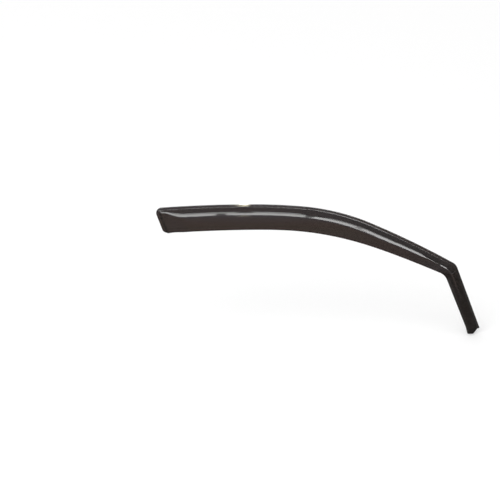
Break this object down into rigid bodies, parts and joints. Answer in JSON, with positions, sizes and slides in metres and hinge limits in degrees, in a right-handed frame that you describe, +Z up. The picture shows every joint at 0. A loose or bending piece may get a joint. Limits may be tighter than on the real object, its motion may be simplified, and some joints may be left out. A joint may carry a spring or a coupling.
{
  "type": "window rain deflector",
  "caption": "Smoked acrylic rain deflector for a car's front side window: arched visor with a flat fixing flange, sloping shelf, rounded shoulder, closed rear end and bent front leg.",
  "frame": {"origin": "on the back of the fixing flange, half way across it, at the top of the roof line", "axes": "+X along the window towards the front of the car, +Y from the flange's back towards the car, +Z up"},
  "size_m": [0.8084, 0.016, 0.3519],
  "materials": {
    "smoked_acrylic": "polished dark brown smoked acrylic, lets a little light through"
  },
  "bodies": {
    "root": {"rain_deflector": "smoked_acrylic"}
  },
  "joints": []
}
